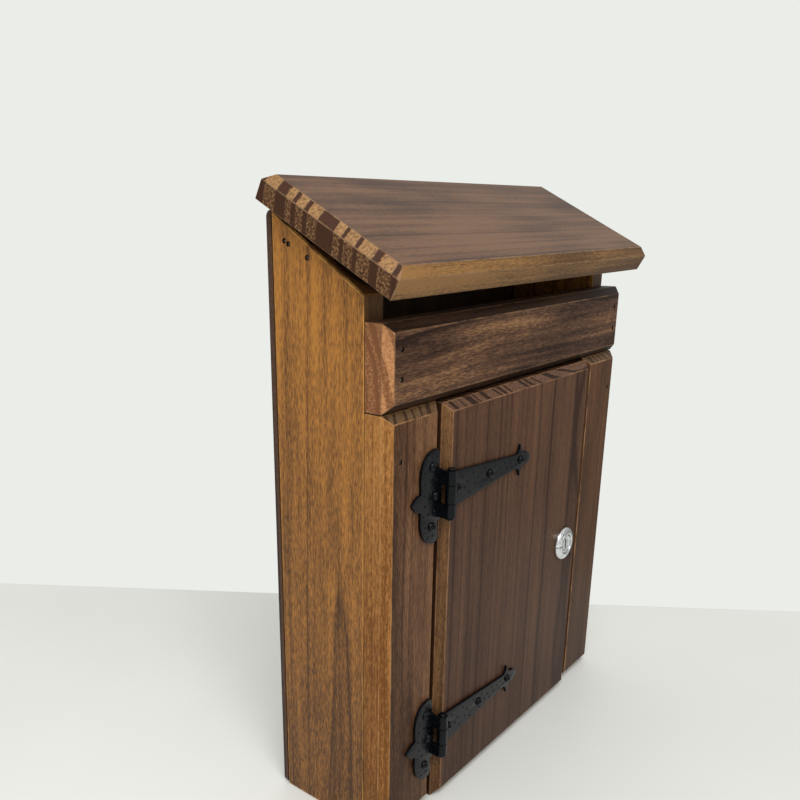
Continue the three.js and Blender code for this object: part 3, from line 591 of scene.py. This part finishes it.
def fastener_tree():
    """Sets one turned fastener on each point, along the point's own drive direction and turned by chance."""
    kinds = {"Profile": "NodeSocketObject", "Sides": "NodeSocketInt", "Recess": "NodeSocketFloat"}
    kinds |= {"Seed": "NodeSocketInt", "Finish": "NodeSocketMaterial"}
    tree, given = tree_of("turned fastener", kinds)
    outline = add(tree, "GeometryNodeObjectInfo", {"Object": given.outputs["Profile"]}).outputs["Geometry"]
    points = add(tree, "GeometryNodeAttributeDomainSize", {0: outline}).outputs["Point Count"]
    steps = add(tree, MATH, {0: points, 1: 1}, operation="SUBTRACT").outputs[0]
    sizes = {"Vertices": given.outputs["Sides"], "Side Segments": steps, "Radius": 1, "Depth": 1}
    bar = add(tree, "GeometryNodeMeshCylinder", sizes, fill_type="NGON").outputs["Mesh"]
    where = add(tree, "GeometryNodeInputPosition").outputs[0]
    split = add(tree, "ShaderNodeSeparateXYZ", {0: where})
    height = add(tree, MATH, {0: split.outputs["Z"], 1: 0.5}, operation="ADD").outputs[0]
    row = add(tree, MATH, {0: height, 1: steps}, operation="MULTIPLY").outputs[0]
    row = add(tree, MATH, {0: row}, operation="ROUND").outputs[0]
    taken = {"Geometry": outline, "Value": where, "Index": row}
    corner = add(tree, "GeometryNodeSampleIndex", taken, data_type="FLOAT_VECTOR").outputs[0]
    part = add(tree, "ShaderNodeSeparateXYZ", {0: corner})
    radius = part.outputs["X"]
    x = add(tree, MATH, {0: split.outputs["X"], 1: radius}, operation="MULTIPLY").outputs[0]
    y = add(tree, MATH, {0: split.outputs["Y"], 1: radius}, operation="MULTIPLY").outputs[0]
    spot = add(tree, "ShaderNodeCombineXYZ", {0: x, 1: y, 2: part.outputs["Z"]}).outputs[0]
    turned = add(tree, "GeometryNodeSetPosition", {"Geometry": bar, "Position": spot}).outputs[0]

    # A cross recess, as long as the input says, or none.
    wide = given.outputs["Recess"]
    narrow = add(tree, MATH, {0: wide, 1: 0.26}, operation="MULTIPLY").outputs[0]
    deep = add(tree, MATH, {0: wide, 1: 0.7}, operation="MULTIPLY").outputs[0]
    arms = []
    for across, along in ((wide, narrow), (narrow, wide)):
        size = add(tree, "ShaderNodeCombineXYZ", {0: across, 1: along, 2: deep}).outputs[0]
        arms.append(add(tree, "GeometryNodeMeshCube", {"Size": size}).outputs["Mesh"])
    cross = {"Mesh 1": turned, "Mesh 2": arms[0]}
    once = add(tree, BOOLEAN, cross, operation="DIFFERENCE", solver="EXACT").outputs["Mesh"]
    cross = {"Mesh 1": once, "Mesh 2": arms[1]}
    twice = add(tree, BOOLEAN, cross, operation="DIFFERENCE", solver="EXACT").outputs["Mesh"]
    has_cross = add(tree, MATH, {0: wide, 1: 0}, operation="GREATER_THAN").outputs[0]
    either = {"Switch": has_cross, "False": turned, "True": twice}
    shape = add(tree, "GeometryNodeSwitch", either, input_type="GEOMETRY").outputs[0]

    named = {"Name": "drive"}
    drive = add(tree, "GeometryNodeInputNamedAttribute", named, data_type="FLOAT_VECTOR").outputs[0]
    turn = add(tree, "FunctionNodeAlignRotationToVector", {"Vector": drive}, axis="Z").outputs[0]
    placed = {"Points": given.outputs["Geometry"], "Instance": shape, "Rotation": turn}
    placed = add(tree, "GeometryNodeInstanceOnPoints", placed).outputs[0]
    chance = add(tree, "FunctionNodeRandomValue", {"Seed": given.outputs["Seed"]}, data_type="FLOAT")
    angle = add(tree, MATH, {0: chance.outputs[1], 1: math.pi / 2}, operation="MULTIPLY").outputs[0]
    spin = add(tree, "ShaderNodeCombineXYZ", {2: angle}).outputs[0]
    spun = {"Instances": placed, "Rotation": spin, "Local Space": True}
    spun = add(tree, "GeometryNodeRotateInstances", spun).outputs[0]
    return finish_tree(tree, spun, given.outputs["Finish"])


def grow(piece, tree, **values):
    """Runs a Geometry Nodes tree on a piece with values for its inputs, and keeps the plain mesh."""
    modifier = piece.modifiers.new(tree.name, "NODES")
    modifier.node_group = tree
    for item in tree.interface.items_tree:
        if item.in_out == "INPUT" and item.name in values:
            modifier[item.identifier] = values[item.name]
    return settle(piece)


FASTENER = fastener_tree()


def fasteners(name, places, profile, material, recess=0.0, sides=20, seed=1):
    """One mesh of like fasteners, each in its frame of places."""
    bm = bmesh.new()
    for radius, height in profile:
        bm.verts.new(Vector((radius, 0, height)) * MM)
    outline = new_piece("profile", bm)
    bm = bmesh.new()
    layer = bm.verts.layers.float_vector.new("drive")
    for place in places:
        bm.verts.new(place.to_translation())[layer] = place.to_3x3() @ Vector((0, 0, 1))
    piece = new_piece(name, bm)
    grow(piece, FASTENER, Profile=outline, Sides=sides, Recess=recess * MM, Seed=seed, Finish=material)
    bpy.data.objects.remove(outline)
    return smooth(piece, 30)


def steel(name, tint, roughness, metallic, specks, speck_tint, speck_size=1.2, bump=0.2, **constants):
    """A worked metal surface: its tint, broken by specks of another tint, with a fine uneven skin."""
    material, tree = new_material(name)
    place = add(tree, COORDINATES).outputs["Object"]
    fine = {"Vector": place, "Scale": 1 / (speck_size * MM), "Detail": 3, "Roughness": 0.6}
    fine = add(tree, NOISE, fine).outputs["Fac"]
    broad = {"Vector": place, "Scale": 1 / (14 * MM), "Detail": 2}
    broad = add(tree, NOISE, broad).outputs["Fac"]
    both = add(tree, MATH, {0: broad, 1: 0.5, 2: fine}, operation="MULTIPLY_ADD").outputs[0]
    stops = [(0.75 - specks, grey(0)), (0.95 - specks / 2, grey(1))]
    share = add(tree, RAMP, {0: both}, stops).outputs[0]
    mix = {0: share, 6: linear(tint), 7: linear(speck_tint)}
    colour = add(tree, MIX, mix, data_type="RGBA").outputs[2]
    rough = add(tree, MATH, {0: fine, 1: 0.25, 2: roughness - 0.12}, operation="MULTIPLY_ADD").outputs[0]
    skin = {"Height": both, "Strength": bump, "Distance": 0.12 * MM}
    normal = add(tree, "ShaderNodeBump", skin).outputs[0]
    surface = {"Base Color": colour, "Roughness": rough, "Metallic": metallic, "Normal": normal, **constants}
    shader = add(tree, PRINCIPLED, surface).outputs[0]
    add(tree, OUTPUT, {"Surface": shader})
    return material


# Stain has run over the nail heads, so they are dull and dark, with a little steel showing.
nail_steel = steel("stained steel nail", "2b211b", 0.5, 0.6, 0.1, "6d5f52")
# Zinc plate is pale grey, slightly blue, with a soft spangle.
zinc = steel("zinc plated steel", "9a9ca0", 0.36, 1.0, 0.15, "74777c", 2.0)
NAIL = [(0.5, 0), (1.05, 0.1), (1.4, 0.45), (1.4, 0.8), (0.9, 0.8), (0.9, 30.6), (0.5, 32.4), (0.1, 33.8)]
nails = fasteners("nails", nail_frames(*NAILS), NAIL, nail_steel, sides=16)
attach(nails, "cabinet")
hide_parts(*[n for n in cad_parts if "_nail_" in n])


def screw_profile(head_radius, head_height, shank_radius, length, pitch):
    """A domed head, a shank, a thread of ridges and a point, from the crown to the tip."""
    dome = [math.radians(a) for a in (12, 30, 50, 70, 90)]
    points = [(head_radius * math.sin(a), head_height * (1 - math.cos(a))) for a in dome]
    points += [(head_radius, head_height), (shank_radius * 0.8, head_height)]
    height = head_height + length * 0.3
    while height < head_height + length - 2.2 * shank_radius:
        points += [(shank_radius * 0.72, height), (shank_radius, height + pitch / 2)]
        height += pitch
    return points + [(shank_radius * 0.7, height), (0.15, head_height + length)]


roof_screw_profile = screw_profile(4, 2, 2, 37, 1.8)
places = [place for side in roof_screws.values() for place in side]
piece = fasteners("roof_screws", places, roof_screw_profile, zinc, recess=4.2, sides=24, seed=3)
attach(piece, "cabinet")
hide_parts(*[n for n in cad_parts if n.startswith("roof_screw")])

# ---- Door ----------------------------------------------------------
# A board a little thicker than the stiles, so that it stands proud of them. Its rings come out as thin dark
# upright lines on the hinge side, and as slanted dark stripes in the end grain along the top chamfer.

# The fade lightens the door towards the top, partly as painted light from above.
door_wood = stained_softwood(
    "dark stained door softwood", GRAIN_UP, (90, 42), 7.4, ("341f14", "513728", "694932"),
    ("412c1c", "7e5a38"), ("311e15", "6e503d"), late=0.7, end_late=0.8, wander=2.5, uneven=1.8,
    streak=0.8, patch=0.4, fibre=0.9, wear_and_highlight="8f6a4c", shine=0.1, fade=(0.5, 0, 0.8)
)
low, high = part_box("door_board")
# Both long sides of the door get painted shade, for the shade in the gaps beside the stiles.
piece = board("door", low, high, door_wood, 2, (1, -1), FRONT_CHAMFER, dark=((0, -1), (0, 1)))
strap_screws = [driven(n, (0, 1, 0)) for n in sorted(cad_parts) if n.startswith("strap_screw")]
lock_low, lock_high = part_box("lock_housing")
lock_centre = (lock_low + lock_high) / 2
LOCK_HOLE = [(0, -5), (9.8, -5), (9.8, 40), (0, 40)]
lock_at = pointing((lock_centre.x, lock_low.y, lock_centre.z), (0, 1, 0))
drill(piece, [(SCREW_HOLE, place) for place in strap_screws] + [(LOCK_HOLE, lock_at)])
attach(piece, "door")
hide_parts("door_board")

# ---- T-hinges ------------------------------------------------------
# Two forged-look steel T-hinges: an arched leaf on the stile, a tapering strap with a fleur-de-lis tip on the
# door, and a pin through three knuckles. The plates are hammered with small dents and painted satin black.

PLATE = 2.0
PLATE_ROUNDING = 0.35
# Satin black paint over hammered steel: near black and slightly blue, with small highlights on the rims.
PAINT_SHINE = {"Specular IOR Level": 0.15}
black_paint = steel("satin black painted steel", "05060a", 0.24, 0, 0.05, "0e1015", 1.6, 0.35, **PAINT_SHINE)


def plate(name, outline, holes, place):
    """A flat plate with rounded rims: an outline of (x, z, kind) points in mm, where a kind is round or
    corner, and round holes of (x, z, radius). Its back lies in the plane Y = 0 of place."""
    curve = bpy.data.curves.new(name, "CURVE")
    curve.dimensions = "2D"
    curve.fill_mode = "BOTH"
    curve.extrude = (PLATE / 2 - PLATE_ROUNDING) * MM
    curve.bevel_depth = PLATE_ROUNDING * MM
    curve.bevel_resolution = 2
    curve.offset = -PLATE_ROUNDING * MM
    curve.resolution_u = 7
    loops = [outline]
    for x, z, radius in holes:
        quarters = [i * math.pi / 2 for i in range(4)]
        loops.append([(x + radius * math.cos(a), z + radius * math.sin(a), "round") for a in quarters])
    for loop in loops:
        spline = curve.splines.new("BEZIER")
        spline.bezier_points.add(len(loop) - 1)
        spline.use_cyclic_u = True
        for point, (x, z, kind) in zip(spline.bezier_points, loop):
            point.co = (x * MM, z * MM, 0)
            handle = "AUTO" if kind == "round" else "VECTOR"
            point.handle_left_type = handle
            point.handle_right_type = handle
    drawn = bpy.data.objects.new(name + "_outline", curve)
    bpy.context.scene.collection.objects.link(drawn)
    evaluated = drawn.evaluated_get(bpy.context.evaluated_depsgraph_get())
    mesh = bpy.data.meshes.new_from_object(evaluated)
    bm = bmesh.new()
    bm.from_mesh(mesh)
    bpy.data.objects.remove(drawn)
    bmesh.ops.remove_doubles(bm, verts=bm.verts, dist=0.002 * MM)
    upright = Matrix.Translation((0, -PLATE / 2 * MM, 0)) @ Matrix.Rotation(math.radians(90), 4, "X")
    bm.transform(place @ upright)
    bmesh.ops.recalc_face_normals(bm, faces=bm.faces)
    return new_piece(name, bm)


def dent_tree():
    """Presses a shallow round dent into a piece at each point of another object."""
    kinds = {"Dents": "NodeSocketObject", "Dent Radius": "NodeSocketFloat", "Finish": "NodeSocketMaterial"}
    tree, given = tree_of("hammered dents", kinds)
    spots = add(tree, "GeometryNodeObjectInfo", {"Object": given.outputs["Dents"]}).outputs["Geometry"]
    ball = {"Segments": 16, "Rings": 16, "Radius": given.outputs["Dent Radius"]}
    ball = add(tree, "GeometryNodeMeshUVSphere", ball).outputs["Mesh"]
    balls = add(tree, "GeometryNodeInstanceOnPoints", {"Points": spots, "Instance": ball}).outputs[0]
    balls = add(tree, "GeometryNodeRealizeInstances", {0: balls}).outputs[0]
    pressed = {"Mesh 1": given.outputs["Geometry"], "Mesh 2": balls}
    pressed = add(tree, BOOLEAN, pressed, operation="DIFFERENCE", solver="EXACT").outputs["Mesh"]
    return finish_tree(tree, pressed, given.outputs["Finish"])


DENTS = dent_tree()
DENT_RADIUS = 1.9
DENT_DEPTH = 0.42


def hammer(piece, spots, front):
    """Dents a plate at (x, z) points, on its front face."""
    bm = bmesh.new()
    for x, z in spots:
        bm.verts.new((x, front - (DENT_RADIUS - DENT_DEPTH) * MM, z))
    dents = new_piece("dents", bm)
    grow(piece, DENTS, Dents=dents, **{"Dent Radius": DENT_RADIUS * MM, "Finish": black_paint})
    bpy.data.objects.remove(dents)


LEAF_OUTLINE = [
    (-2.4, -17, "corner"), (-2.4, 17, "corner"), (-6.4, 18, "corner"), (-6.6, 29.6, "round"),
    (-8.2, 31, "round"), (-12.6, 31, "round"), (-20.6, 27, "round"), (-25, 18, "round"),
    (-25, 4.6, "corner"), (-29.4, 3.4, "round"), (-34.8, -0.4, "corner"), (-31.4, -4.8, "round"),
    (-28.6, -6.6, "round"), (-25, -7.6, "corner"), (-24.8, -18.6, "round"), (-20.8, -27, "round"),
    (-13.6, -31.6, "round"), (-7.8, -31.6, "round"), (-6.4, -30.2, "round"), (-6.4, -18, "corner"),
]
STRAP_RISE = 1.2
STRAP_OUTLINE = [
    (5, -12.4, "corner"), (5, 12.4, "corner"), (87, 5.3, "corner"), (90.6, 6.4, "round"),
    (93, 12, "corner"), (95.4, 7, "round"), (99.2, 4.7, "corner"), (103, 4.6, "round"),
    (106.4, 2.4, "round"), (107.5, -0.8, "round"), (106, -3.6, "round"), (102.6, -5, "round"),
    (99, -4.8, "corner"), (95.6, -7.4, "round"), (93.6, -12, "corner"), (91.2, -6.6, "round"),
    (87, -5.3, "corner"),
]
BARREL = 3.8
BORE = 1.8
KNUCKLE_ROUND = 0.5


def knuckle(bm, low, high, place):
    """One rolled knuckle between two heights, with rounded rims."""
    r = KNUCKLE_ROUND
    rim = [(BARREL, low + r), (BARREL, high - r), (BARREL - 0.15, high - 0.15), (BARREL - r, high)]
    bore = [(BORE + 0.2, high), (BORE, high - 0.2), (BORE, low + 0.2), (BORE + 0.2, low)]
    foot = [(BARREL - r, low), (BARREL - 0.15, low + 0.15), (BARREL, low + r)]
    lathe(bm, rim + bore + foot, place, 40)


LEAF_SCREW_SPOTS = [(-13, 20.2), (-9.1, 0), (-13, -20.2)]
STRAP_SCREW_SPOTS = [(10.8, 0), (51.9, 0), (94.6, 0)]


def clear_of(spots, screws, distance):
    """The spots that are farther than a distance from every screw."""
    return [(x, z) for x, z in spots if all(math.hypot(x - a, z - b) > distance for a, b in screws)]


def strap_dents():
    """Dents in loosely alternating rows along the strap, clear of its screws."""
    chance = random.Random(11)
    spots = []
    for i in range(22):
        x = 15.5 + 3.45 * i
        half = 12.4 - (x - 5) * (12.4 - 5.3) / 82
        lift = (0.62, -0.2, 0.15, -0.66)[i % 4] * (half - 1.2)
        spots.append((x + chance.uniform(-0.7, 0.7), lift + chance.uniform(-0.7, 0.7)))
    return clear_of(spots, STRAP_SCREW_SPOTS, 5.4)


def leaf_dents():
    """Dents scattered over the leaf, clear of its screws."""
    chance = random.Random(5)
    spots = []
    for row in range(8):
        for column in range(3):
            x = -9.6 - 5.4 * column - 1.8 * (row % 2)
            spots.append((x + chance.uniform(-0.8, 0.8), 26 - 7.4 * row + chance.uniform(-0.9, 0.9)))
    return clear_of(spots, LEAF_SCREW_SPOTS, 5.2)


for level in ("upper", "lower"):
    pin_low, pin_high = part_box(f"hinge_pin_{level}")
    axis = (pin_low + pin_high) / 2
    pin_frame = Matrix.Translation(axis)
    leaf_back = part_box(f"hinge_leaf_{level}")[1].y
    strap_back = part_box(f"hinge_strap_{level}")[1].y

    holes = [(x, z, 2) for x, z in LEAF_SCREW_SPOTS]
    leaf = plate(f"{level}_leaf", LEAF_OUTLINE, holes, Matrix.Translation((axis.x, leaf_back, axis.z)))
    bm = bmesh.new()
    for sign in (-1, 1):
        low, high = sorted((sign * 6.5, sign * 16.2))
        near = axis + Vector((-4.2, -0.4, low)) * MM
        far = Vector((axis.x - 2.5 * MM, leaf_back - 0.3 * MM, axis.z + high * MM))
        block(bm, near, far)
    combine(leaf, bm, "UNION")
    bm = bmesh.new()
    for sign in (-1, 1):
        low, high = sorted((sign * 6.5, sign * 16.2))
        knuckle(bm, low, high, pin_frame)
    combine(leaf, bm, "UNION")
    hammer(leaf, [(axis.x + x * MM, axis.z + z * MM) for x, z in leaf_dents()], leaf_back - PLATE * MM)
    smooth(leaf, 20)
    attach(leaf, "cabinet")
    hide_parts(f"hinge_leaf_{level}")

    holes = [(x, z, 2) for x, z in STRAP_SCREW_SPOTS]
    rise = axis.z + STRAP_RISE * MM
    strap = plate(f"{level}_strap", STRAP_OUTLINE, holes, Matrix.Translation((axis.x, strap_back, rise)))
    bm = bmesh.new()
    near = Vector((axis.x + 0.5 * MM, strap_back - 1.7 * MM, axis.z - 6.1 * MM))
    far = Vector((axis.x + 7 * MM, strap_back - 0.1 * MM, axis.z + 6.1 * MM))
    block(bm, near, far)
    combine(strap, bm, "UNION")
    bm = bmesh.new()
    knuckle(bm, -6.2, 6.2, pin_frame)
    combine(strap, bm, "UNION")
    hammer(strap, [(axis.x + x * MM, rise + z * MM) for x, z in strap_dents()], strap_back - PLATE * MM)
    smooth(strap, 20)
    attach(strap, "door")
    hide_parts(f"hinge_strap_{level}")

    bm = bmesh.new()
    button = [(1.5, 16.8), (2.6, 16.8), (2.6, 17.1), (2.2, 17.55), (1.3, 17.75), (0, 17.8)]
    lathe(bm, [(r, -h) for r, h in reversed(button)] + button, pin_frame, 32)
    pin = smooth(new_piece(f"{level}_pin", bm, black_paint))
    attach(pin, "cabinet")
    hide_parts(f"hinge_pin_{level}")

# ---- Hinge screws --------------------------------------------------
# Black domed cross-head screws, three in each leaf and three in each strap.

hinge_screw = screw_profile(3.2, 1.8, 1.7, 15, 1.3)
for name, body, places in (("leaf_screws", "cabinet", leaf_screws), ("strap_screws", "door", strap_screws)):
    piece = fasteners(name, places, hinge_screw, black_paint, recess=3.0, sides=28, seed=len(name))
    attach(piece, body)
    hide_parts(*[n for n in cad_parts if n.startswith(name[:-1])])

# ---- Cam lock ------------------------------------------------------
# A chrome plated cam lock: a domed bezel with stamped index marks, a plug with a keyway, and behind the door
# a zinc plated nut, a cranked cam and its screw.

# Chrome plate is a near white mirror with faint polishing marks.
chrome = steel("chrome plated zinc", "e4e6e8", 0.16, 1.0, 0.0, "c9cccf", 2.5, 0.05)
bezel_profile = [(8.1, 0.6), (8.3, 0.25), (8.8, 0.05)]
for step in range(1, 10):
    a = math.radians(10 * step)
    bezel_profile.append((8.8 + 5.2 * math.sin(a) ** 0.9, 0.05 + 3.4 * (1 - math.cos(a))))
bezel_profile += [(14, 4.3), (13.6, 4.3), (9.5, 4.3)]
height = 5.0
lock_depth = (lock_high.y - lock_low.y) / MM
while height < lock_depth - 1.2:
    bezel_profile += [(9.5, height), (9.05, height + 0.5)]
    height += 1.0
bezel_profile += [(9.3, lock_depth - 0.3), (9.0, lock_depth)]
bezel_profile += [(7, lock_depth), (7, 2.9), (8.1, 2.9), (8.1, 0.6)]
bm = bmesh.new()
lathe(bm, bezel_profile, lock_at, 96)
bmesh.ops.recalc_face_normals(bm, faces=bm.faces)
bezel = new_piece("lock_bezel", bm, chrome)


def stamped(piece, marks):
    """Stamps bars into a face. Each is its angle, how far out it starts and ends, its width and depth."""
    bm = bmesh.new()
    for angle, start, end, width, depth in marks:
        turn = Matrix.Translation(lock_at.to_translation()) @ Matrix.Rotation(math.radians(-angle), 4, "Y")
        low = Vector((start, -2, -width / 2)) * MM
        high = Vector((end, depth, width / 2)) * MM
        block(bm, low, high, turn)
    return combine(piece, bm, "DIFFERENCE")


stamped(bezel, [(128, 8.6, 15, 1.3, 2.0), (151, 9.4, 15, 1.1, 2.2), (180, 9.4, 15, 1.6, 3.0)])
smooth(bezel, 28)
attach(bezel, "door")
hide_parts("lock_housing")

plug_low, plug_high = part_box("lock_plug")
plug_at = pointing((lock_centre.x, plug_low.y, lock_centre.z), (0, 1, 0))
plug_depth = (plug_high.y - plug_low.y) / MM
tail = 2.3
plug_profile = [(0, 0.5), (4.6, 0.5), (5.2, 0.1), (5.8, 0), (7.5, 0), (7.8, 0.3), (7.8, 1.7), (6.7, 1.7)]
plug_profile += [(6.7, plug_depth - tail - 0.2), (6.5, plug_depth - tail), (0, plug_depth - tail)]
bm = bmesh.new()
lathe(bm, plug_profile, plug_at, 64)
bmesh.ops.recalc_face_normals(bm, faces=bm.faces)
plug = new_piece("lock_plug_turned", bm, chrome)
bm = bmesh.new()
centre = Vector((lock_centre.x, 0, lock_centre.z))
tang = 3.5 * MM
shoulder = plug_high.y - (tail + 0.5) * MM
block(bm, centre + Vector((-tang, shoulder, -tang)), centre + Vector((tang, plug_high.y, tang)))
combine(plug, bm, "UNION")
bm = bmesh.new()
keyway = Vector((0.9, 0, 4)) * MM
before, behind = [Vector((0, plug_low.y + depth * MM, 0)) for depth in (-1, 7)]
block(bm, centre + before - keyway, centre + behind + keyway)
combine(plug, bm, "DIFFERENCE")
thread = [(0, -12), (2.1, -12), (2.1, 1), (0, 1)]
drill(plug, [(thread, pointing((lock_centre.x, plug_high.y, lock_centre.z), (0, 1, 0)))])
smooth(plug, 28)
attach(plug, "lock_core")
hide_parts("lock_plug")

for node in ("lock_nut", "lock_cam", "cam_screw"):
    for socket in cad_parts[node].material_slots:
        socket.material = zinc

# ---- Table, light and camera ---------------------------------------
# The box stands on a pale table top, whose far edge is a little way behind it, in an evenly lit white room.

TABLE_TURN = math.radians(-54.3)
TABLE_REACH = 0.195
low, high = cad_box
along = Matrix.Rotation(TABLE_TURN, 4, "Z")
bm = bmesh.new()
block(bm, (-2.2, -3.2, -0.03), (2.2, TABLE_REACH, 0))
bmesh.ops.bevel(bm, geom=list(bm.edges), offset=0.004, segments=3, profile=0.5, affect="EDGES")
bm.transform(Matrix.Translation((0, 0, low.z)) @ along)
# Pale laminate pressed smooth: an even off-white with a faint mottle and a soft satin sheen.
table_top, tree = new_material("pale laminate")
place = add(tree, COORDINATES).outputs["Object"]
mottle = add(tree, NOISE, {"Vector": place, "Scale": 3, "Detail": 3}).outputs["Fac"]
tints = [(0.3, linear("e3e5e1")), (0.7, linear("ecedea"))]
tint = add(tree, RAMP, {0: mottle}, tints).outputs[0]
surface = {"Base Color": tint, "Roughness": 0.45}
shader = add(tree, PRINCIPLED, surface).outputs[0]
add(tree, OUTPUT, {"Surface": shader})
table = new_piece("table_top", bm, table_top)
table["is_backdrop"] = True

world = bpy.data.worlds.new("white room")
bpy.context.scene.world = world
world.use_nodes = True
tree = world.node_tree
tree.nodes.clear()
ROOM = linear("ebede9")
ROOM_SIDES = {"ceiling": ((0, 0, 1), 0.45), "near side": ((-0.74, -0.67, 0), 0.35)}
way = add(tree, COORDINATES).outputs["Generated"]
shade = 0.38
for direction, share in ROOM_SIDES.values():
    facing = {0: way, 1: direction}
    facing = add(tree, VECTOR, facing, operation="DOT_PRODUCT").outputs["Value"]
    facing = add(tree, MATH, {0: facing, 1: 0}, operation="MAXIMUM").outputs[0]
    shade = add(tree, MATH, {0: facing, 1: share, 2: shade}, operation="MULTIPLY_ADD").outputs[0]
lit = add(tree, "ShaderNodeBackground", {"Color": linear("fbfbf6"), "Strength": shade}).outputs[0]
seen = add(tree, "ShaderNodeBackground", {"Color": ROOM, "Strength": 1.0}).outputs[0]
straight = add(tree, "ShaderNodeLightPath").outputs["Is Camera Ray"]
glow = add(tree, "ShaderNodeMixShader", {0: straight, 1: lit, 2: seen}).outputs[0]
add(tree, "ShaderNodeOutputWorld", {"Surface": glow})

lamp = bpy.data.lights.new("window", "AREA")
lamp.shape = "SQUARE"
lamp.size = 0.9
lamp.energy = 16
WINDOW = Vector((-0.8, -0.8, 1.3))
light = bpy.data.objects.new("window", lamp)
light.matrix_world = pointing(WINDOW, WINDOW)
bpy.context.scene.collection.objects.link(light)

camera_data = bpy.data.cameras.new("camera")
camera_data.lens = 36.19
camera_data.sensor_width = 36
camera_data.shift_x = 0.0946
camera_data.shift_y = 0.0974
camera_data.clip_start = 0.01
camera = bpy.data.objects.new("camera", camera_data)
bpy.context.scene.collection.objects.link(camera)
bpy.context.scene.camera = camera
yaw, pitch, roll = math.radians(47.91), math.radians(17.63), math.radians(0.78)
forward = Vector((math.sin(yaw) * math.cos(pitch), math.cos(yaw) * math.cos(pitch), -math.sin(pitch)))
level = Vector((math.cos(yaw), -math.sin(yaw), 0))
down = -level.cross(forward)
right = math.cos(roll) * level + math.sin(roll) * down
below = -math.sin(roll) * level + math.cos(roll) * down
turn = Matrix((right, -below, -forward)).transposed().to_4x4()
CAMERA_PLACE = (-0.5207, -0.3710, 0.2065)
camera.matrix_world = Matrix.Translation(CAMERA_PLACE) @ turn
bpy.context.scene.view_settings.view_transform = "Standard"

low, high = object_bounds()
